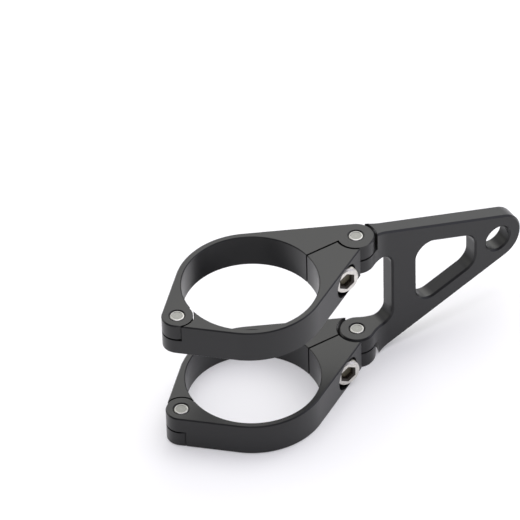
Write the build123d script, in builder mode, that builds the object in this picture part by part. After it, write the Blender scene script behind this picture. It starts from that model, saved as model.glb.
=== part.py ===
"""Headlight mounting bracket for one fork tube of a motorbike.

Two hinged clamps grip the tube, one above the other. A flat triangular arm hangs
between them on two more hinges and carries the headlight bolt at its tip.
Frame: the tube axis is Z, the lower clamp's bottom face is Z = 0, the arm points
along +X, the clamp jaws and their screws are on the -Y side. Millimetres.
"""

import os
from math import asin, atan2, cos, hypot, radians, sin, tan

from build123d import *

os.makedirs("parts", exist_ok=True)

# Fork tube and clamp rings
FORK_D = 41.0
RING_WALL = 2.0
CLAMP_H = 11.0
CLAMP_SPACING = 37.6
SPLIT_GAP = 0.6
SPLIT_Y = 0.8
EDGE_BREAK = 0.35
BORE_BREAK = 0.25

# Hinge knuckles and pins; the scoop is the arm's own pocket, a little wider than the clamp's
JAW_KNUCKLE_R = 4.7
JAW_WEB = 0.4
JAW_POCKET_CLEAR = 0.5
ARM_KNUCKLE_R = 5.6
ARM_POCKET_CLEAR = 0.7
ARM_SCOOP_CLEAR = 0.9
KNUCKLE_GAP = 0.6
PIN_D = 4.5
PIN_CHAMFER = 0.4
PIN_SINK = 0.05
PIN_RUN_CLEAR = 0.05
PIN_HOLE_BREAK = 0.35

# Clamp screws, M5 x 12 socket heads
SCREW_D = 5.0
SCREW_ROOT_D = 4.1
SCREW_LENGTH = 12.0
SCREW_HEAD_D = 8.5
SCREW_HEAD_H = 5.0
SCREW_HEAD_EDGE = 0.4
SCREW_TIP_CHAMFER = 0.6
SOCKET_FLATS = 4.0
SOCKET_DEPTH = 1.8
SOCKET_MOUTH_BREAK = 0.6
SCREW_CLEAR = 0.25
COUNTERBORE_CLEAR = 0.75
HEAD_PROUD = 0.3
TAPPED_RUN_OUT = 1.2
TAPPED_BREAK = 0.4

# Where the screw and the arm hinge stand beyond the bore, and how the jaw's lug tapers
SCREW_FROM_BORE = 6.8
ARM_PIN_FROM_SCREW = 10.3
JAW_LUG_R = 3.9

# Arm, measured along X from its hinge axis; its sloping edges start on the scoop's rim
ARM_T = 5.5
ARM_FLARE_R = 12.0
SHOULDER_ANGLE = 35.0
THROAT_REACH = 11.2
THROAT_R = 4.0
BAR_WIDTH = 8.9
WINDOW_R = 5.0
STRAP_WIDTH = 6.0
TIP_WEB = 4.3
TIP_REACH = 50.2
TIP_R = 8.5
BOLT_HOLE_D = 8.4
ARM_EDGE_BREAK = 0.55

# Derived places
FORK_R = FORK_D / 2
RING_R = FORK_R + RING_WALL
JAW_PIN_X = -(FORK_R + JAW_WEB + JAW_KNUCKLE_R)
SCREW_X = FORK_R + SCREW_FROM_BORE
ARM_PIN_X = SCREW_X + ARM_PIN_FROM_SCREW
JAW_POCKET_R = JAW_KNUCKLE_R + JAW_POCKET_CLEAR
ARM_POCKET_R = ARM_KNUCKLE_R + ARM_POCKET_CLEAR
ARM_SCOOP_R = ARM_KNUCKLE_R + ARM_SCOOP_CLEAR
PIN_RUN_R = PIN_D / 2 + PIN_RUN_CLEAR
TOTAL_H = CLAMP_SPACING + CLAMP_H
MID_Z = TOTAL_H / 2
UPPER_Z = CLAMP_SPACING
BODY_FACE_Y = SPLIT_Y + SPLIT_GAP / 2
JAW_FACE_Y = SPLIT_Y - SPLIT_GAP / 2
KNUCKLE_Z = UPPER_Z + CLAMP_H / 2
KNUCKLE_LOW_Z = KNUCKLE_Z - KNUCKLE_GAP / 2
KNUCKLE_TOP_Z = KNUCKLE_Z + KNUCKLE_GAP / 2
REACH = ARM_PIN_X + RING_R

# The jaw's slanted lug face is tangent to the ring, and the screw head sits across it
LUG_ANGLE = asin((RING_R - JAW_LUG_R) / ARM_PIN_X)
LUG_FACE_Y = -(RING_R - SCREW_X * sin(LUG_ANGLE)) / cos(LUG_ANGLE)
HEAD_FACE_Y = LUG_FACE_Y - HEAD_PROUD
SEAT_Y = HEAD_FACE_Y + SCREW_HEAD_H
SCREW_TIP_Y = SEAT_Y + SCREW_LENGTH
SCREW_Z = KNUCKLE_Z
COUNTERBORE_R = SCREW_HEAD_D / 2 + COUNTERBORE_CLEAR

# The arm's sloping edges run from its shoulders to the round tip
SHOULDER_X = ARM_PIN_X + ARM_SCOOP_R * cos(radians(SHOULDER_ANGLE))
THROAT_X = ARM_PIN_X + THROAT_REACH
WINDOW_X0 = THROAT_X + BAR_WIDTH
TIP_X = ARM_PIN_X + TIP_REACH
WINDOW_X1 = TIP_X - BOLT_HOLE_D / 2 - TIP_WEB
TIP_RUN = TIP_X - SHOULDER_X
ARM_SLOPE = atan2(MID_Z, TIP_RUN) - asin(TIP_R / hypot(TIP_RUN, MID_Z))
STRAP_RISE = STRAP_WIDTH / cos(ARM_SLOPE)
WINDOW_H0 = MID_Z - tan(ARM_SLOPE) * (WINDOW_X0 - SHOULDER_X) - STRAP_RISE
WINDOW_H1 = MID_Z - tan(ARM_SLOPE) * (WINDOW_X1 - SHOULDER_X) - STRAP_RISE


def clamp_half(lug_r, face_y):
    """Rear half of a clamp, with its knuckles on the top half of the height.

    The outline is a hull round the ring, the jaw knuckle and the lug's end of radius lug_r,
    cut off square at the split's face_y.
    The front half is one of these turned over, so that each half's knuckle lies in the
    other half's pocket.
    """
    with BuildPart() as half:
        with BuildSketch(Plane.XY.offset(UPPER_Z)):
            Circle(RING_R)
            with Locations((JAW_PIN_X, 0)):
                Circle(JAW_KNUCKLE_R)
            with Locations((ARM_PIN_X, 0)):
                Circle(lug_r)
            make_hull()
        extrude(amount=CLAMP_H)
        rims = half.edges().group_by(Axis.Z)
        chamfer(rims[0] + rims[-1], length=EDGE_BREAK)
        with Locations((0, 0, TOTAL_H)):
            Hole(radius=FORK_R)
        mouths = half.edges().filter_by(GeomType.CIRCLE)
        mouths = mouths.filter_by(lambda e: abs(e.radius - FORK_R) < 1e-6)
        chamfer(mouths, length=BORE_BREAK)
        with BuildSketch(Plane.XY.offset(UPPER_Z)):
            with Locations((0, face_y)):
                Rectangle(2 * REACH, REACH, align=(Align.CENTER, Align.MAX))
            with Locations((JAW_PIN_X, 0)):
                Circle(JAW_POCKET_R)
            with Locations((ARM_PIN_X, 0)):
                Circle(ARM_POCKET_R)
        extrude(amount=KNUCKLE_TOP_Z - UPPER_Z, mode=Mode.SUBTRACT)
        with BuildSketch(Plane.XY.offset(KNUCKLE_TOP_Z)):
            with Locations((0, face_y)):
                Rectangle(2 * REACH, REACH, align=(Align.CENTER, Align.MAX))
            with Locations((JAW_PIN_X, 0)):
                Circle(JAW_KNUCKLE_R, mode=Mode.SUBTRACT)
            with Locations((ARM_PIN_X, 0)):
                Circle(lug_r, mode=Mode.SUBTRACT)
        extrude(amount=CLAMP_H, mode=Mode.SUBTRACT)
    return half.part


# Upper clamp body: rear half, with pressed pin holes and the blind tapped hole
with BuildPart() as upper_clamp_body:
    add(clamp_half(ARM_KNUCKLE_R, BODY_FACE_Y))
    with Locations((JAW_PIN_X, 0, TOTAL_H), (ARM_PIN_X, 0, TOTAL_H)):
        CounterSinkHole(
            radius=PIN_D / 2,
            counter_sink_radius=PIN_D / 2 + PIN_HOLE_BREAK,
            depth=CLAMP_H,
            counter_sink_angle=90,
        )
    with Locations(Plane((SCREW_X, BODY_FACE_Y, SCREW_Z), x_dir=(1, 0, 0), z_dir=(0, -1, 0))):
        CounterSinkHole(
            radius=SCREW_D / 2,
            counter_sink_radius=SCREW_D / 2 + TAPPED_BREAK,
            depth=SCREW_TIP_Y + TAPPED_RUN_OUT - BODY_FACE_Y,
            counter_sink_angle=90,
        )
upper_clamp_body.part.label = "upper_clamp_body"

# Upper clamp jaw: the half turned over, cleared right through round the arm hinge
with BuildPart() as upper_clamp_jaw:
    add(clamp_half(JAW_LUG_R, -JAW_FACE_Y).rotate(Axis((0, 0, KNUCKLE_Z), (1, 0, 0)), 180))
    with BuildSketch(Plane.XY.offset(UPPER_Z)):
        with Locations((ARM_PIN_X, 0)):
            Circle(ARM_POCKET_R)
    extrude(amount=CLAMP_H, mode=Mode.SUBTRACT)
    with Locations(Plane((JAW_PIN_X, 0, UPPER_Z), x_dir=(1, 0, 0), z_dir=(0, 0, -1))):
        CounterSinkHole(
            radius=PIN_RUN_R,
            counter_sink_radius=PIN_RUN_R + PIN_HOLE_BREAK,
            depth=CLAMP_H,
            counter_sink_angle=90,
        )
    with Locations(Plane((SCREW_X, -RING_R, SCREW_Z), x_dir=(1, 0, 0), z_dir=(0, -1, 0))):
        CounterBoreHole(
            radius=SCREW_D / 2 + SCREW_CLEAR,
            counter_bore_radius=COUNTERBORE_R,
            counter_bore_depth=RING_R + SEAT_Y,
            depth=RING_R + BODY_FACE_Y,
        )
upper_clamp_jaw.part.label = "upper_clamp_jaw"

# Hinge pins, pressed in the clamp body and running in the jaw's or the arm's knuckle
with BuildPart() as upper_jaw_pin:
    with BuildSketch(Plane.XY.offset(UPPER_Z + PIN_SINK)):
        with Locations((JAW_PIN_X, 0)):
            Circle(PIN_D / 2)
    extrude(amount=CLAMP_H - 2 * PIN_SINK)
    chamfer(upper_jaw_pin.edges().filter_by(GeomType.CIRCLE), length=PIN_CHAMFER)
upper_jaw_pin.part.label = "upper_jaw_pin"

with BuildPart() as upper_arm_pin:
    with BuildSketch(Plane.XY.offset(UPPER_Z + PIN_SINK)):
        with Locations((ARM_PIN_X, 0)):
            Circle(PIN_D / 2)
    extrude(amount=CLAMP_H - 2 * PIN_SINK)
    chamfer(upper_arm_pin.edges().filter_by(GeomType.CIRCLE), length=PIN_CHAMFER)
upper_arm_pin.part.label = "upper_arm_pin"

# Clamp screw: socket head in the jaw's counterbore, shank at the thread's root diameter
with BuildPart() as upper_screw:
    seat = Plane((SCREW_X, SEAT_Y, SCREW_Z), x_dir=(1, 0, 0), z_dir=(0, -1, 0))
    with BuildSketch(seat):
        Circle(SCREW_HEAD_D / 2)
    extrude(amount=SCREW_HEAD_H)
    chamfer(upper_screw.edges().group_by(Axis.Y)[0], length=SCREW_HEAD_EDGE)
    with BuildSketch(seat):
        Circle(SCREW_ROOT_D / 2)
    extrude(amount=-SCREW_LENGTH)
    chamfer(upper_screw.edges().group_by(Axis.Y)[-1], length=SCREW_TIP_CHAMFER)
    with BuildSketch(seat.offset(SCREW_HEAD_H)):
        RegularPolygon(SOCKET_FLATS / 2, 6, major_radius=False, rotation=30)
    extrude(amount=-SOCKET_DEPTH, mode=Mode.SUBTRACT)
    with BuildSketch(seat.offset(SCREW_HEAD_H)):
        RegularPolygon(SOCKET_FLATS / 2 + SOCKET_MOUTH_BREAK, 6, major_radius=False, rotation=30)
    extrude(amount=-SOCKET_MOUTH_BREAK, taper=45, mode=Mode.SUBTRACT)
upper_screw.part.label = "upper_screw"

# Arm: a plan outline and a side outline, each run right through, kept where both meet
with BuildPart() as arm:
    with BuildSketch(Plane.XY) as plan:
        with Locations((ARM_PIN_X, 0)):
            Circle(ARM_KNUCKLE_R)
            Rectangle(TIP_REACH + TIP_R, ARM_T, align=(Align.MIN, Align.CENTER))
        fillet(plan.vertices().group_by(Axis.X)[0], radius=ARM_FLARE_R)
    extrude(amount=TOTAL_H)
    with BuildSketch(Plane.XZ):
        with Locations((SHOULDER_X, MID_Z)):
            Rectangle(REACH, TOTAL_H, align=(Align.MAX, Align.CENTER))
        with Locations((TIP_X, MID_Z)):
            Circle(TIP_R)
        make_hull()
    extrude(amount=RING_R, both=True, mode=Mode.INTERSECT)
    with BuildSketch(Plane.XZ) as throat:
        with Locations((THROAT_X, MID_Z)):
            Rectangle(REACH, CLAMP_SPACING - CLAMP_H, align=(Align.MAX, Align.CENTER))
        fillet(throat.vertices().group_by(Axis.X)[-1], radius=THROAT_R)
    extrude(amount=RING_R, both=True, mode=Mode.SUBTRACT)
    with BuildSketch(Plane.XZ) as window:
        Polygon(
            (WINDOW_X0, MID_Z - WINDOW_H0),
            (WINDOW_X1, MID_Z - WINDOW_H1),
            (WINDOW_X1, MID_Z + WINDOW_H1),
            (WINDOW_X0, MID_Z + WINDOW_H0),
            align=None,
        )
        fillet(window.vertices(), radius=WINDOW_R)
    extrude(amount=RING_R, both=True, mode=Mode.SUBTRACT)
    with Locations(Plane((TIP_X, -ARM_T / 2, MID_Z), x_dir=(1, 0, 0), z_dir=(0, -1, 0))):
        Hole(radius=BOLT_HOLE_D / 2)
    with BuildSketch(Plane.XY.offset(KNUCKLE_LOW_Z)):
        with Locations((ARM_PIN_X, 0)):
            Circle(ARM_SCOOP_R)
    extrude(amount=CLAMP_H, mode=Mode.SUBTRACT)
    with BuildSketch(Plane.XY.offset(TOTAL_H - KNUCKLE_LOW_Z)):
        with Locations((ARM_PIN_X, 0)):
            Circle(ARM_SCOOP_R)
    extrude(amount=-CLAMP_H, mode=Mode.SUBTRACT)
    chamfer(arm.faces().filter_by(Axis.Y).edges().filter_by(Axis.Z, reverse=True), length=ARM_EDGE_BREAK)
    lower_knuckle = Plane((ARM_PIN_X, 0, CLAMP_H), x_dir=(1, 0, 0), z_dir=(0, 0, 1))
    upper_knuckle = Plane((ARM_PIN_X, 0, UPPER_Z), x_dir=(1, 0, 0), z_dir=(0, 0, -1))
    with Locations(lower_knuckle, upper_knuckle):
        CounterSinkHole(
            radius=PIN_RUN_R,
            counter_sink_radius=PIN_RUN_R + PIN_HOLE_BREAK,
            depth=CLAMP_H,
            counter_sink_angle=90,
        )
arm.part.label = "arm"

# The lower clamp is the upper one mirrored in the bracket's middle plane
MIDDLE = Plane.XY.offset(MID_Z)

with BuildPart() as lower_clamp_body:
    mirror(upper_clamp_body.part, about=MIDDLE)
lower_clamp_body.part.label = "lower_clamp_body"

with BuildPart() as lower_clamp_jaw:
    mirror(upper_clamp_jaw.part, about=MIDDLE)
lower_clamp_jaw.part.label = "lower_clamp_jaw"

with BuildPart() as lower_jaw_pin:
    mirror(upper_jaw_pin.part, about=MIDDLE)
lower_jaw_pin.part.label = "lower_jaw_pin"

with BuildPart() as lower_arm_pin:
    mirror(upper_arm_pin.part, about=MIDDLE)
lower_arm_pin.part.label = "lower_arm_pin"

with BuildPart() as lower_screw:
    mirror(upper_screw.part, about=MIDDLE)
lower_screw.part.label = "lower_screw"

export_step(arm.part, "parts/arm.step")
export_step(upper_clamp_body.part, "parts/upper_clamp_body.step")
export_step(upper_clamp_jaw.part, "parts/upper_clamp_jaw.step")
export_step(upper_jaw_pin.part, "parts/upper_jaw_pin.step")
export_step(upper_arm_pin.part, "parts/upper_arm_pin.step")
export_step(upper_screw.part, "parts/upper_screw.step")
export_step(lower_clamp_body.part, "parts/lower_clamp_body.step")
export_step(lower_clamp_jaw.part, "parts/lower_clamp_jaw.step")
export_step(lower_jaw_pin.part, "parts/lower_jaw_pin.step")
export_step(lower_arm_pin.part, "parts/lower_arm_pin.step")
export_step(lower_screw.part, "parts/lower_screw.step")
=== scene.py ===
"""Finishes, turned pins, screw knurls and threads, and a studio for a fork-clamp headlight bracket.

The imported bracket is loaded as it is, in metres, with the fork tube's axis on Z and the arm along
+X. Each operator dresses one group of pieces, and the last one sets up the floor, the light and the
camera.
"""

import math

import bpy
import numpy as np
from bpy.props import FloatProperty, FloatVectorProperty, IntProperty, PointerProperty
from mathutils import Matrix, Vector


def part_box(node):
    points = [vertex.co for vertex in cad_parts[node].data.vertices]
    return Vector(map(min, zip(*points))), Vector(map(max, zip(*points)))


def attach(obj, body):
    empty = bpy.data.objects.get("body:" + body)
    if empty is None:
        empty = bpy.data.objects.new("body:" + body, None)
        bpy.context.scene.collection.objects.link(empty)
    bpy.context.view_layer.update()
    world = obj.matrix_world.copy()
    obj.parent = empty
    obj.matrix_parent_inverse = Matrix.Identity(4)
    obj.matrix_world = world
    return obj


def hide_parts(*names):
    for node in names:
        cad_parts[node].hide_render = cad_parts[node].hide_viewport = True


bl_info = {
    "name": "Headlight Bracket Looks",
    "version": (1, 0, 0),
    "blender": (4, 5, 0),
    "location": "3D View > Sidebar > Bracket",
    "description": "Anodised finish, hinge pins, clamp screws and a studio for a headlight bracket",
    "category": "Object",
}

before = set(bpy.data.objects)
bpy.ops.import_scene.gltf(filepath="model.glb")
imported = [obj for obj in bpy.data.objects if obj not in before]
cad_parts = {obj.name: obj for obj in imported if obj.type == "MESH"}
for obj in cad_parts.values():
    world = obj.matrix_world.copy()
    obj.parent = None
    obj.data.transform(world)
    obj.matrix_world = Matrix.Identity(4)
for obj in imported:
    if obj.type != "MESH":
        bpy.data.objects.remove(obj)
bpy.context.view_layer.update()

MM = 0.001
TURN = 2 * math.pi
Y_AXIS, Z_AXIS = 1, 2
LEVELS = ("upper", "lower")
HINGES = ("jaw", "arm")
CLAMP_FINISH = "black_anodised_aluminium"

# Edges that turn by more than this stay sharp on the new pieces.
SHARP_ANGLE = math.radians(35)
# Rings of points round the quarter circle of a pin's rim.
RIM_RINGS = 9
# A 60 degree thread, in pitches from the middle of its ridge: where the flat of the crest ends, and
# where the flank meets the root.
CREST_END, FLANK_END = 1 / 16, 3 / 8
# The plain margin at each end of a knurled head, and the length of the slope up to the ridges.
KNURL_MARGIN, KNURL_SLOPE = 0.5 * MM, 0.15 * MM
# The floor lies this far below the bracket, so that their faces don't coincide.
FLOOR_DROP = 0.02 * MM
# The nearest and farthest distance that the camera shows, in metres.
CAMERA_CLIP = (0.05, 50)

# Most values of a noise texture lie in this span.
NOISE_SPAN = {"From Min": 0.3, "From Max": 0.7}

# Studio lights, all far away and soft: azimuth and elevation in degrees, strength and tint.
# Azimuth 0 is on the -Y side and 90 on the +X side.
LIGHTS = {
    "overhead": (0, 90, 4.1, "f9f7ff"),
    "right": (108, 45, 2.3, "fffffc"),
    "behind on the right": (144, 45, 1.7, "fffff9"),
    "low behind on the left": (210, 24, 1.9, "fffffa"),
    "low in front on the right": (60, 24, 1.2, "eeeeff"),
    "low in front on the left": (330, 22, 0.8, "ffffff"),
    "low behind on the right": (135, 20, 0.9, "fdfeff"),
}


def linear(hex_colour):
    """An sRGB hex colour such as 1f2021 as linear red, green and blue."""
    srgb = np.array([int(hex_colour[i : i + 2], 16) for i in (0, 2, 4)]) / 255
    low, high = srgb / 12.92, ((srgb + 0.055) / 1.055) ** 2.4
    return tuple(float(c) for c in np.where(srgb <= 0.04045, low, high))


def compass(azimuth, elevation):
    """The unit vector that points to an azimuth and elevation in radians."""
    level = math.cos(elevation)
    return Vector((math.sin(azimuth) * level, -math.cos(azimuth) * level, math.sin(elevation)))


def add_node(tree, kind, inputs=None, **settings):
    """Adds a node, sets its settings, and gives each input a value or joins it to a socket."""
    made = tree.nodes.new(kind)
    for name, value in settings.items():
        setattr(made, name, value)
    for name, value in (inputs or {}).items():
        if isinstance(value, bpy.types.NodeSocket):
            tree.links.new(value, made.inputs[name])
        else:
            made.inputs[name].default_value = value
    return made


def new_material(name):
    """An empty node material and its tree."""
    material = bpy.data.materials.new(name)
    material.use_nodes = True
    material.node_tree.nodes.clear()
    return material, material.node_tree


def dress(piece, material):
    """Gives a piece one material in its only slot."""
    piece.data.materials.clear()
    piece.data.materials.append(material)


class AnodisedSettings(bpy.types.PropertyGroup):
    """Colour, gloss and grain of the anodised aluminium."""

    dye: FloatVectorProperty(
        name="Dye", description="Colour of the dyed oxide layer",
        subtype="COLOR", size=3, min=0, max=1, default=linear("161618"),
    )
    roughness: FloatProperty(
        name="Roughness", description="How far the satin surface spreads a highlight",
        subtype="FACTOR", min=0, max=1, default=0.3,
    )
    ior: FloatProperty(
        name="IOR", description="Index of refraction of the sealed oxide layer",
        min=1, default=1.43,
    )
    grain: FloatProperty(
        name="Blast grain", description="Size of the fine grain left by bead blasting",
        unit="LENGTH", default=0.25 * MM,
    )
    drift: FloatProperty(
        name="Dye drift", description="Distance over which the dye's depth drifts",
        unit="LENGTH", default=22 * MM,
    )


class PinSettings(bpy.types.PropertyGroup):
    """Shape and colours of the hinge pins."""

    rim_steel: FloatVectorProperty(
        name="Rim", description="Colour of the turned rim",
        subtype="COLOR", size=3, min=0, max=1, default=linear("a5a4a2"),
    )
    end_steel: FloatVectorProperty(
        name="End face", description="Colour of the dull dished end",
        subtype="COLOR", size=3, min=0, max=1, default=linear("868683"),
    )
    rim: FloatProperty(
        name="Rim radius", description="Rounding of the rim", unit="LENGTH", default=0.4 * MM,
    )
    dish: FloatProperty(
        name="Dish radius", description="Radius of the shallow dish in each end",
        unit="LENGTH", default=1.6 * MM,
    )
    dish_depth: FloatProperty(
        name="Dish depth", description="Depth of the dish", unit="LENGTH", default=0.12 * MM,
    )
    around: IntProperty(
        name="Around", description="Points round the pin", min=24, default=96,
    )


class ScrewSettings(bpy.types.PropertyGroup):
    """Colours and marks of the clamp screws, and the shape of their knurl and thread."""

    steel: FloatVectorProperty(
        name="Steel", description="Colour of the stainless steel",
        subtype="COLOR", size=3, min=0, max=1, default=linear("dad7d2"),
    )
    # The socket colour is an oily film's brown, darkened to paint the shade on the socket's walls.
    socket: FloatVectorProperty(
        name="Socket", description="Colour of the oily film on the socket's walls",
        subtype="COLOR", size=3, min=0, max=1, default=linear("2f2820"),
    )
    # The socket floor colour is the film's brown, lightened to paint the light that reaches the
    # floor in the shaded socket.
    socket_floor_painted_light: FloatVectorProperty(
        name="Socket floor", description="Colour of the worn film on the socket's floor",
        subtype="COLOR", size=3, min=0, max=1, default=linear("6a6352"),
    )
    socket_depth: FloatProperty(
        name="Socket depth", description="Depth of the socket", unit="LENGTH", default=1.8 * MM,
    )
    socket_reach: FloatProperty(
        name="Socket reach", description="Radius within which the whole socket lies",
        unit="LENGTH", default=3.3 * MM,
    )
    smudge: FloatProperty(
        name="Smudges", description="Size of the faint smudges on the steel",
        unit="LENGTH", default=1.6 * MM,
    )
    turning: FloatProperty(
        name="Turning marks", description="Spacing of the rings left by turning",
        unit="LENGTH", default=0.22 * MM,
    )
    head: FloatProperty(
        name="Head height", description="Height of the head", unit="LENGTH", default=5.0 * MM,
    )
    knurls: IntProperty(
        name="Knurls", description="Ridges round the head's side", min=12, default=60,
    )
    knurl_height: FloatProperty(
        name="Knurl height", description="Height of the knurl's ridges",
        unit="LENGTH", default=0.1 * MM,
    )
    pitch: FloatProperty(
        name="Pitch", description="Distance between turns of the thread",
        unit="LENGTH", default=0.8 * MM,
    )
    root: FloatProperty(
        name="Root radius", description="Radius at the bottom of the thread",
        unit="LENGTH", default=2.06 * MM,
    )
    crest: FloatProperty(
        name="Crest radius", description="Radius at the top of the thread",
        unit="LENGTH", default=2.46 * MM,
    )
    hole: FloatProperty(
        name="Hole radius", description="Radius of the bare hole, which is the thread's widest",
        unit="LENGTH", default=2.5 * MM,
    )
    mouth: FloatProperty(
        name="Hole mouth", description="Y where the hole's thread starts, behind its chamfer",
        unit="LENGTH", default=1.55 * MM,
    )
    clearance: FloatProperty(
        name="Clearance", description="Gap between the screw's thread and the hole's",
        unit="LENGTH", default=0.03 * MM,
    )
    steps: IntProperty(
        name="Steps", description="Rows of points in one turn of the thread", min=8, default=16,
    )
    around: IntProperty(
        name="Around", description="Points round the thread", min=16, default=64,
    )


class StageSettings(bpy.types.PropertyGroup):
    """Floor, light and camera."""

    azimuth: FloatProperty(
        name="Azimuth", description="Camera's turn round Z",
        subtype="ANGLE", default=math.radians(-31.80),
    )
    elevation: FloatProperty(
        name="Elevation", description="Camera's height over the horizon",
        subtype="ANGLE", default=math.radians(41.58),
    )
    roll: FloatProperty(
        name="Roll", description="Camera's turn about its own line of sight",
        subtype="ANGLE", default=math.radians(-1.69),
    )
    target: FloatVectorProperty(
        name="Target", description="Point in the middle of the picture",
        subtype="TRANSLATION", size=3, default=(3.71 * MM, 0.11 * MM, 55.65 * MM),
    )
    distance: FloatProperty(
        name="Distance", description="Camera to target", unit="LENGTH", default=1.5,
    )
    lens: FloatProperty(
        name="Lens", description="Focal length in millimetres", unit="CAMERA", default=351.56,
    )
    floor: FloatVectorProperty(
        name="Floor", description="Colour of the floor",
        subtype="COLOR", size=3, min=0, max=1, default=linear("f5f5f5"),
    )
    floor_size: FloatProperty(
        name="Floor size", description="Side of the square floor", unit="LENGTH", default=24.0,
    )
    glow: FloatVectorProperty(
        name="Glow", description="Plain colour that shows through the floor and lifts its shadows",
        subtype="COLOR", size=3, min=0, max=1, default=linear("fbfaff"),
    )
    glow_share: FloatProperty(
        name="Glow share", description="How much of the floor shows its plain colour",
        subtype="FACTOR", min=0, max=1, default=0.3,
    )
    focus: FloatProperty(
        name="Light focus", description="How tightly a light gathers round its middle", default=12,
    )
    backdrop: FloatProperty(
        name="Backdrop", description="Elevation by which the white backdrop has faded out",
        subtype="ANGLE", default=math.radians(7),
    )


class BracketLooks(bpy.types.PropertyGroup):
    """All settings of the bracket's looks."""

    anodised: PointerProperty(type=AnodisedSettings)
    pins: PointerProperty(type=PinSettings)
    screws: PointerProperty(type=ScrewSettings)
    stage: PointerProperty(type=StageSettings)


def lathe_piece(name, centre, axis, along, radius, closed):
    """A surface of rings round an axis through centre: along and radius give each point's place.

    A point is centre + along * way + radius * (cos(angle) * u + sin(angle) * v), with way the unit
    vector of the axis and u, v and way square to each other. Rows are rings and columns go once
    round. A closed surface joins its last row to its first, and an open one has a flat cap at each
    end.
    """
    rows, columns = radius.shape
    v, way, u = np.roll(np.eye(3), axis - 1, axis=1)
    angle = np.linspace(0, TURN, columns, endpoint=False)[:, None]
    points = (
        np.array(centre)
        + np.broadcast_to(along, radius.shape)[..., None] * way
        + radius[..., None] * (np.cos(angle) * u + np.sin(angle) * v)
    ).reshape(-1, 3)
    row = np.arange(rows if closed else rows - 1)[:, None]
    column = np.arange(columns)[None, :]
    below, above = row * columns, (row + 1) % rows * columns
    beside = (column + 1) % columns
    quads = np.stack([below + column, below + beside, above + beside, above + column], axis=-1)
    faces = quads.reshape(-1, 4).tolist()
    if not closed:
        faces.append(list(range(columns - 1, -1, -1)))
        faces.append(list(range((rows - 1) * columns, rows * columns)))
    mesh = bpy.data.meshes.new(name)
    mesh.from_pydata(points.tolist(), [], faces)
    mesh.polygons.foreach_set("use_smooth", np.ones(len(faces), bool))
    mesh.set_sharp_from_angle(angle=SHARP_ANGLE)
    mesh.update()
    piece = bpy.data.objects.new(name, mesh)
    bpy.context.scene.collection.objects.link(piece)
    return piece


def pin_profile(pins, radius, low, high):
    """Heights and radii of a pin's rings, from its lower dish to its upper one.

    From the top's middle outwards: a flat dish, a short bank up to the end face, and a quarter
    circle from the end face round to the side. The lower end is its mirror.
    """
    turn = np.linspace(0, math.pi / 2, RIM_RINGS)
    rim = radius - pins.rim * (1 - np.sin(turn))
    out = np.concatenate([[pins.dish, pins.dish + pins.dish_depth], rim])
    drop = np.concatenate([[pins.dish_depth, 0], pins.rim * (1 - np.cos(turn))])
    return np.concatenate([low + drop, high - drop[::-1]]), np.concatenate([out, out[::-1]])


def thread_radius(screws, along, angle):
    """Thread surface: the root radius plus a 60 degree ridge that climbs one pitch a turn.

    With u = fraction of (along / pitch - angle / turn), the ridge is flat on top for |u - 1/2| up
    to CREST_END, slopes down to FLANK_END and is flat at the root beyond that.
    """
    u = np.mod(along / screws.pitch - angle / TURN, 1.0)
    ridge = np.clip((FLANK_END - np.abs(u - 0.5)) / (FLANK_END - CREST_END), 0, 1)
    return screws.root + (screws.crest - screws.root) * ridge


def thread_rows(screws, start, end):
    """Places along a thread as a column, angles round it as a row, and its radius at each point."""
    along = np.arange(start, end, screws.pitch / screws.steps)[:, None]
    angle = np.linspace(0, TURN, screws.around, endpoint=False)[None, :]
    return along, thread_radius(screws, along, angle)


def fade(along, length):
    """One along the middle of a row of places, falling to nothing over a length at each end."""
    return np.clip(np.minimum(along - along.min(), along.max() - along) / length, 0, 1)


def polar(tree, centre, tip):
    """Distance from an axis and place along it, for an axis along z tipped about x."""
    place = add_node(tree, "ShaderNodeTexCoord").outputs["Object"]
    turned = add_node(
        tree, "ShaderNodeMapping",
        {"Vector": place, "Location": centre, "Rotation": (tip, 0, 0)}, vector_type="TEXTURE",
    ).outputs["Vector"]
    flat = add_node(
        tree, "ShaderNodeVectorMath", {0: turned, 1: (1, 1, 0)}, operation="MULTIPLY",
    ).outputs[0]
    out = add_node(tree, "ShaderNodeVectorMath", {0: flat}, operation="LENGTH").outputs["Value"]
    return out, add_node(tree, "ShaderNodeSeparateXYZ", {"Vector": turned}).outputs["Z"]


# How far the dye's depth and the grain change the colour, how far the grain changes the roughness,
# and the grain's relief.
DYE_DRIFT = {"To Min": 0.9, "To Max": 1.1}
DYE_SPECKLE = {"To Min": 0.97, "To Max": 1.03}
GRAIN_ROUGHNESS = 0.01
GRAIN_RELIEF = {"Distance": 0.001 * MM, "Strength": 0.25}


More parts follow.
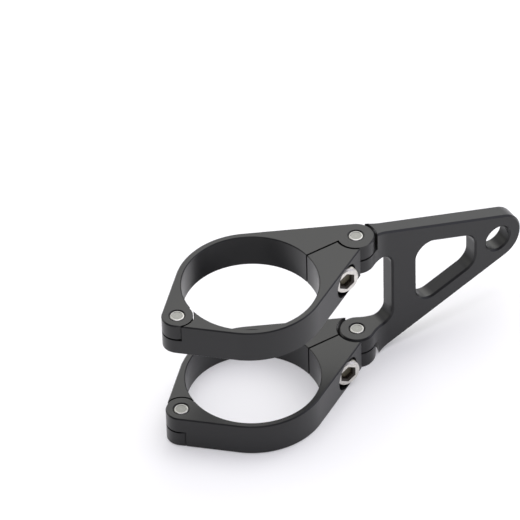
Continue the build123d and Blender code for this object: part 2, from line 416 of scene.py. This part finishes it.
# Bead-blasted aluminium under a dyed oxide layer: black but never deep, with a broad satin sheen,
# a fine grain and a slow drift of tone where the dye took a little more or less.
def anodised_aluminium(settings):
    """Black anodised aluminium: colour drifts over centimetres, grain of a quarter millimetre."""
    material, tree = new_material(CLAMP_FINISH)
    place = add_node(tree, "ShaderNodeTexCoord").outputs["Object"]
    drift = add_node(
        tree, "ShaderNodeTexNoise", {"Vector": place, "Scale": 1 / settings.drift, "Detail": 2.0},
    ).outputs["Fac"]
    # The real grain is about a tenth of a millimetre: it is drawn coarser so that it shows.
    grain = add_node(
        tree, "ShaderNodeTexNoise",
        {"Vector": place, "Scale": 1 / settings.grain, "Detail": 3.0, "Roughness": 0.6},
    ).outputs["Fac"]
    tone = add_node(tree, "ShaderNodeMapRange", {"Value": drift, **NOISE_SPAN, **DYE_DRIFT})
    speckle = add_node(tree, "ShaderNodeMapRange", {"Value": grain, **NOISE_SPAN, **DYE_SPECKLE})
    depth = add_node(
        tree, "ShaderNodeMath", {0: tone.outputs["Result"], 1: speckle.outputs["Result"]},
        operation="MULTIPLY",
    )
    colour = add_node(
        tree, "ShaderNodeVectorMath", {0: tuple(settings.dye), "Scale": depth.outputs[0]},
        operation="SCALE",
    )
    rough = add_node(
        tree, "ShaderNodeMapRange",
        {
            "Value": grain, **NOISE_SPAN,
            "To Min": settings.roughness - GRAIN_ROUGHNESS,
            "To Max": settings.roughness + GRAIN_ROUGHNESS,
        },
    )
    bump = add_node(tree, "ShaderNodeBump", {"Height": grain, **GRAIN_RELIEF})
    shader = add_node(
        tree, "ShaderNodeBsdfPrincipled",
        {
            "Base Color": colour.outputs[0], "Roughness": rough.outputs["Result"],
            "IOR": settings.ior, "Normal": bump.outputs["Normal"],
        },
    )
    add_node(tree, "ShaderNodeOutputMaterial", {"Surface": shader.outputs["BSDF"]})
    return material


# Relief of the rings that turning leaves on pins and screws. The real ones are about a twentieth of
# a millimetre apart: they are drawn coarser so that they show.
TURNED_RELIEF = {"Distance": 0.01 * MM, "Strength": 0.5}
# How far the rings change a pin's colour, its roughness from dish to rim, and how far inside the
# dish's edge the bright rim begins to show.
PIN_RINGS = {"To Min": 0.8, "To Max": 1.1}
PIN_ROUGHNESS = {"To Min": 0.45, "To Max": 0.28}
RIM_START = 0.05 * MM


# Stainless dowel pins: the rounded rim is turned bright, and the dished end is dull from parting
# off.
def dowel_steel(name, pins, turning, centre):
    """Turned stainless steel for one pin: bright outside the dish, dull and ringed within it."""
    material, tree = new_material(name)
    out, _ = polar(tree, centre, 0.0)
    rim = add_node(
        tree, "ShaderNodeMapRange",
        {"Value": out, "From Min": pins.dish - RIM_START, "From Max": pins.dish + pins.dish_depth},
    ).outputs["Result"]
    rings = add_node(
        tree, "ShaderNodeTexNoise", {"W": out, "Scale": 1 / turning, "Detail": 2.0},
        noise_dimensions="1D",
    ).outputs["Fac"]
    shade = add_node(tree, "ShaderNodeMapRange", {"Value": rings, **NOISE_SPAN, **PIN_RINGS})
    steel = add_node(
        tree, "ShaderNodeMix",
        {"Factor": rim, "A": (*pins.end_steel, 1), "B": (*pins.rim_steel, 1)}, data_type="RGBA",
    )
    colour = add_node(
        tree, "ShaderNodeVectorMath",
        {0: steel.outputs["Result"], "Scale": shade.outputs["Result"]}, operation="SCALE",
    )
    rough = add_node(tree, "ShaderNodeMapRange", {"Value": rim, **PIN_ROUGHNESS})
    bump = add_node(tree, "ShaderNodeBump", {"Height": rings, **TURNED_RELIEF})
    shader = add_node(
        tree, "ShaderNodeBsdfPrincipled",
        {
            "Base Color": colour.outputs[0], "Metallic": 1.0,
            "Roughness": rough.outputs["Result"], "Normal": bump.outputs["Normal"],
        },
    )
    add_node(tree, "ShaderNodeOutputMaterial", {"Surface": shader.outputs["BSDF"]})
    return material


# How far smudges change a screw's colour, and the roughness of its turned steel and of the film in
# the socket.
# The film on the walls, dark as painted shade, begins a little below the face, and that on the
# floor, lighter as painted light, a little above it.
SMUDGE_TONE = {"To Min": 0.82, "To Max": 1.05}
TURNED_ROUGHNESS = {"To Min": 0.24, "To Max": 0.36}
FILM_ROUGHNESS = 0.5
WALL_START, FLOOR_START = 0.03 * MM, 0.05 * MM


# Stainless socket screws: bright turned faces with fine rings and faint smudges, and a socket
# painted brown as an oily film, dark on its walls as painted shade and lighter on its floor as
# painted light.
def screw_steel(name, screws, centre):
    """Turned stainless steel for one screw, with its head's face at centre and its axis along y."""
    material, tree = new_material(name)
    out, depth = polar(tree, centre, -math.pi / 2)
    rings = add_node(
        tree, "ShaderNodeTexNoise", {"W": out, "Scale": 1 / screws.turning, "Detail": 2.0},
        noise_dimensions="1D",
    ).outputs["Fac"]
    place = add_node(tree, "ShaderNodeTexCoord").outputs["Object"]
    smudge = add_node(
        tree, "ShaderNodeTexNoise", {"Vector": place, "Scale": 1 / screws.smudge, "Detail": 3.0},
    ).outputs["Fac"]
    shade = add_node(tree, "ShaderNodeMapRange", {"Value": smudge, **NOISE_SPAN, **SMUDGE_TONE})
    # The socket is what lies between the face and half the head's height, and well inside its rim.
    middle = screws.head / 4
    deep = add_node(
        tree, "ShaderNodeMath", {0: depth, 1: middle, 2: middle - WALL_START}, operation="COMPARE",
    ).outputs[0]
    within = add_node(
        tree, "ShaderNodeMath", {0: out, 1: screws.socket_reach}, operation="LESS_THAN",
    ).outputs[0]
    socket = add_node(
        tree, "ShaderNodeMath", {0: deep, 1: within}, operation="MULTIPLY",
    ).outputs[0]
    bottom = add_node(
        tree, "ShaderNodeMath", {0: depth, 1: screws.socket_depth - FLOOR_START},
        operation="GREATER_THAN",
    ).outputs[0]
    # Painted shade and light: the walls' dark colour stands in for the shade deep in the socket,
    # and the floor's lighter colour for the light that reaches it.
    film_and_painted_light = add_node(
        tree, "ShaderNodeMix",
        {"Factor": bottom, "A": (*screws.socket, 1), "B": (*screws.socket_floor_painted_light, 1)},
        data_type="RGBA",
    ).outputs["Result"]
    clean = add_node(
        tree, "ShaderNodeMix", {"Factor": socket, "A": (*screws.steel, 1), "B": film_and_painted_light},
        data_type="RGBA",
    ).outputs["Result"]
    colour = add_node(
        tree, "ShaderNodeVectorMath", {0: clean, "Scale": shade.outputs["Result"]},
        operation="SCALE",
    )
    turned = add_node(
        tree, "ShaderNodeMapRange", {"Value": rings, **NOISE_SPAN, **TURNED_ROUGHNESS},
    ).outputs["Result"]
    rough = add_node(
        tree, "ShaderNodeMix", {"Factor": socket, "A": turned, "B": FILM_ROUGHNESS},
    )
    bare = add_node(tree, "ShaderNodeMath", {0: 1.0, 1: socket}, operation="SUBTRACT")
    bump = add_node(tree, "ShaderNodeBump", {"Height": rings, **TURNED_RELIEF})
    shader = add_node(
        tree, "ShaderNodeBsdfPrincipled",
        {
            "Base Color": colour.outputs[0], "Metallic": bare.outputs[0],
            "Roughness": rough.outputs["Result"], "Normal": bump.outputs["Normal"],
        },
    )
    add_node(tree, "ShaderNodeOutputMaterial", {"Surface": shader.outputs["BSDF"]})
    return material


class BRACKET_OT_anodised(bpy.types.Operator):
    """Finish the arm, the clamp bodies and the jaws in black anodised aluminium"""

    bl_idname = "bracket.anodised"
    bl_label = "Anodised Aluminium"

    def execute(self, context):
        material = anodised_aluminium(context.scene.bracket_looks.anodised)
        for name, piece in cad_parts.items():
            if name.endswith(("arm", "body", "jaw")):
                dress(piece, material)
        return {"FINISHED"}


class BRACKET_OT_pins(bpy.types.Operator):
    """Turn the hinge pins with a rounded rim and a shallow dish in each end"""

    bl_idname = "bracket.pins"
    bl_label = "Hinge Pins"

    def execute(self, context):
        looks = context.scene.bracket_looks
        pins, turning = looks.pins, looks.screws.turning
        for hinge in HINGES:
            low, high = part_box(f"upper_{hinge}_pin")
            centre = ((low.x + high.x) / 2, (low.y + high.y) / 2, 0)
            material = dowel_steel(f"turned_stainless_{hinge}_pin", pins, turning, centre)
            for level in LEVELS:
                low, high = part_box(f"{level}_{hinge}_pin")
                along, out = pin_profile(pins, (high.x - low.x) / 2, low.z, high.z)
                radius = np.repeat(out[:, None], pins.around, axis=1)
                name = f"{level}_{hinge}_pin_turned"
                pin = lathe_piece(name, centre, Z_AXIS, along[:, None], radius, closed=False)
                dress(pin, material)
                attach(pin, f"{level}_clamp")
                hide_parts(f"{level}_{hinge}_pin")
        return {"FINISHED"}


class BRACKET_OT_screws(bpy.types.Operator):
    """Finish the clamp screws, knurl their heads and cut the threads of screws and holes"""

    bl_idname = "bracket.screws"
    bl_label = "Clamp Screws"

    def execute(self, context):
        screws = context.scene.bracket_looks.screws
        if CLAMP_FINISH not in bpy.data.materials:
            raise RuntimeError("The tapped holes take the clamps' finish: finish the clamps first")
        for level in LEVELS:
            low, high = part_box(f"{level}_screw")
            axis = ((low.x + high.x) / 2, 0, (low.z + high.z) / 2)
            face = (axis[0], low.y, axis[2])
            steel = screw_steel(f"turned_stainless_{level}_screw", screws, face)
            dress(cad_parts[f"{level}_screw"], steel)
            self.knurl_head(screws, level, axis, low.y, (high.x - low.x) / 2, steel)
            start, end = low.y + screws.head + screws.pitch, high.y - screws.pitch
            self.cut_shank(screws, level, axis, start, end, steel)
            self.cut_hole(screws, level, axis, high.y)
        return {"FINISHED"}

    def knurl_head(self, screws, level, axis, face, head_radius, steel):
        """The straight knurl round a screw head's side: a ring of ridges that ends inside the head.

        Radius = head + clearance / 2 + height * (1 - |2 * fraction(knurls * angle / turn) - 1|):
        straight flanks between one column of points in each groove and one on each ridge.
        """
        start, end = face + KNURL_MARGIN, face + screws.head - KNURL_MARGIN
        columns = 2 * screws.knurls
        ridge = screws.knurl_height * (np.arange(columns) % 2)
        over = head_radius + screws.clearance / 2 + ridge
        under = np.full(columns, head_radius - 2 * screws.clearance)
        sunk = under - screws.clearance
        along = np.array([start, start + KNURL_SLOPE, end - KNURL_SLOPE, end, end, start])
        radius = np.stack([under, over, over, under, sunk, sunk])
        name = f"{level}_screw_knurl"
        knurl = lathe_piece(name, axis, Y_AXIS, along[:, None], radius, closed=True)
        dress(knurl, steel)
        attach(knurl, f"{level}_jaw")

    def cut_shank(self, screws, level, axis, start, end, steel):
        """The thread on a screw's shank, fading out towards the head and the tip."""
        along, thread = thread_rows(screws, start, end)
        radius = screws.root + (thread - screws.root) * fade(along, screws.pitch)
        radius[[0, -1]] = screws.root - 2 * screws.clearance
        shank = lathe_piece(f"{level}_screw_thread", axis, Y_AXIS, along, radius, closed=False)
        dress(shank, steel)
        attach(shank, f"{level}_jaw")

    def cut_hole(self, screws, level, axis, tip):
        """The thread in a tapped hole: a sleeve in the clamp's wall, cut to fit the screw."""
        along, thread = thread_rows(screws, screws.mouth, tip + screws.pitch)
        teeth = screws.hole - thread - screws.clearance
        inside = screws.hole - teeth * fade(along, screws.pitch)
        outside = np.full((2, screws.around), screws.hole + 2 * screws.clearance)
        rows = np.concatenate([along[[0, -1]], along[::-1]])
        radius = np.concatenate([outside, inside[::-1]])
        sleeve = lathe_piece(f"{level}_tapped_thread", axis, Y_AXIS, rows, radius, closed=True)
        dress(sleeve, bpy.data.materials[CLAMP_FINISH])
        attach(sleeve, f"{level}_clamp")


class BRACKET_OT_stage(bpy.types.Operator):
    """Lay a pale floor, light it as a soft studio and set the camera"""

    bl_idname = "bracket.stage"
    bl_label = "Studio"

    def execute(self, context):
        settings = context.scene.bracket_looks.stage
        self.lay_floor(settings)
        self.light_studio(context.scene, settings)
        self.set_camera(context.scene, settings)
        context.scene.view_settings.view_transform = "Standard"
        return {"FINISHED"}

    def lay_floor(self, settings):
        """A flat square just under the bracket, partly plain in colour to keep its shadows pale."""
        half = settings.floor_size / 2
        corners = [(-half, -half), (half, -half), (half, half), (-half, half)]
        mesh = bpy.data.meshes.new("floor")
        mesh.from_pydata([(x, y, -FLOOR_DROP) for x, y in corners], [], [(0, 1, 2, 3)])
        floor = bpy.data.objects.new("floor", mesh)
        bpy.context.scene.collection.objects.link(floor)
        material, tree = new_material("studio_paper")
        ray = add_node(tree, "ShaderNodeLightPath").outputs
        seen = add_node(
            tree, "ShaderNodeMath", {0: ray["Is Camera Ray"], 1: ray["Is Glossy Ray"]},
            operation="ADD",
        )
        seen = add_node(
            tree, "ShaderNodeMath", {0: seen.outputs[0], 1: ray["Is Transmission Ray"]},
            operation="ADD",
        )
        share = add_node(
            tree, "ShaderNodeMath", {0: seen.outputs[0], 1: settings.glow_share},
            operation="MULTIPLY",
        )
        paper = add_node(tree, "ShaderNodeBsdfDiffuse", {"Color": (*settings.floor, 1)})
        plain = add_node(
            tree, "ShaderNodeEmission", {"Color": (*settings.glow, 1), "Strength": 1.0},
        )
        mixed = add_node(
            tree, "ShaderNodeMixShader",
            {0: share.outputs[0], 1: paper.outputs[0], 2: plain.outputs[0]},
        )
        add_node(tree, "ShaderNodeOutputMaterial", {"Surface": mixed.outputs[0]})
        dress(floor, material)

    def light_studio(self, scene, settings):
        """Soft lights far away: a white backdrop round the horizon, and round glows above it.

        A glow's strength falls off as exp(focus * (cos(angle) - 1)) with the angle from its middle.
        """
        world = bpy.data.worlds.new("studio")
        scene.world = world
        world.use_nodes = True
        tree = world.node_tree
        tree.nodes.clear()
        way = add_node(tree, "ShaderNodeTexCoord").outputs["Generated"]
        height = add_node(tree, "ShaderNodeSeparateXYZ", {"Vector": way}).outputs["Z"]
        total = add_node(
            tree, "ShaderNodeMapRange",
            {
                "Value": height, "From Min": 0.0, "From Max": math.sin(settings.backdrop),
                "To Min": 1.0, "To Max": 0.0,
            },
            interpolation_type="SMOOTHSTEP",
        ).outputs["Result"]
        focus = settings.focus
        for azimuth, elevation, strength, tint in LIGHTS.values():
            middle = compass(math.radians(azimuth), math.radians(elevation))
            near = add_node(
                tree, "ShaderNodeVectorMath", {0: way, 1: middle * focus}, operation="DOT_PRODUCT",
            )
            fall = add_node(
                tree, "ShaderNodeMath", {0: near.outputs["Value"], 1: focus}, operation="SUBTRACT",
            )
            glow = add_node(tree, "ShaderNodeMath", {0: fall.outputs[0]}, operation="EXPONENT")
            total = add_node(
                tree, "ShaderNodeVectorMath",
                {0: glow.outputs[0], 1: Vector(linear(tint)) * strength, 2: total},
                operation="MULTIPLY_ADD",
            ).outputs[0]
        background = add_node(tree, "ShaderNodeBackground", {"Color": total})
        add_node(tree, "ShaderNodeOutputWorld", {"Surface": background.outputs["Background"]})

    def set_camera(self, scene, settings):
        """Camera on a line of sight through the target, turned by azimuth, elevation and roll."""
        back = compass(settings.azimuth, settings.elevation)
        level = Vector((math.cos(settings.azimuth), math.sin(settings.azimuth), 0))
        upright = back.cross(level)
        right = level * math.cos(settings.roll) + upright * math.sin(settings.roll)
        up = upright * math.cos(settings.roll) - level * math.sin(settings.roll)
        camera = bpy.data.objects.new("camera", bpy.data.cameras.new("camera"))
        camera.data.lens = settings.lens
        camera.data.clip_start, camera.data.clip_end = CAMERA_CLIP
        camera.matrix_world = Matrix((right, up, back)).transposed().to_4x4()
        camera.location = Vector(settings.target) + back * settings.distance
        scene.collection.objects.link(camera)
        scene.camera = camera


class BRACKET_PT_looks(bpy.types.Panel):
    """Lists the bracket's settings and operators"""

    bl_label = "Headlight Bracket"
    bl_space_type = "VIEW_3D"
    bl_region_type = "UI"
    bl_category = "Bracket"

    def draw(self, context):
        looks = context.scene.bracket_looks
        for group, operator in (
            (looks.anodised, "bracket.anodised"),
            (looks.pins, "bracket.pins"),
            (looks.screws, "bracket.screws"),
            (looks.stage, "bracket.stage"),
        ):
            box = self.layout.box()
            for name in group.__annotations__:
                box.prop(group, name)
            box.operator(operator)


CLASSES = (
    AnodisedSettings,
    PinSettings,
    ScrewSettings,
    StageSettings,
    BracketLooks,
    BRACKET_OT_anodised,
    BRACKET_OT_pins,
    BRACKET_OT_screws,
    BRACKET_OT_stage,
    BRACKET_PT_looks,
)


def register():
    """Registers the classes and hangs the settings on the scene."""
    for cls in CLASSES:
        bpy.utils.register_class(cls)
    bpy.types.Scene.bracket_looks = PointerProperty(type=BracketLooks)


def unregister():
    """Takes the settings and the classes away again."""
    del bpy.types.Scene.bracket_looks
    for cls in reversed(CLASSES):
        bpy.utils.unregister_class(cls)


def main():
    """Registers the settings, dresses the bracket and sets the stage."""
    register()
    bpy.ops.bracket.anodised()
    bpy.ops.bracket.pins()
    bpy.ops.bracket.screws()
    bpy.ops.bracket.stage()


if __name__ == "__main__":
    main()
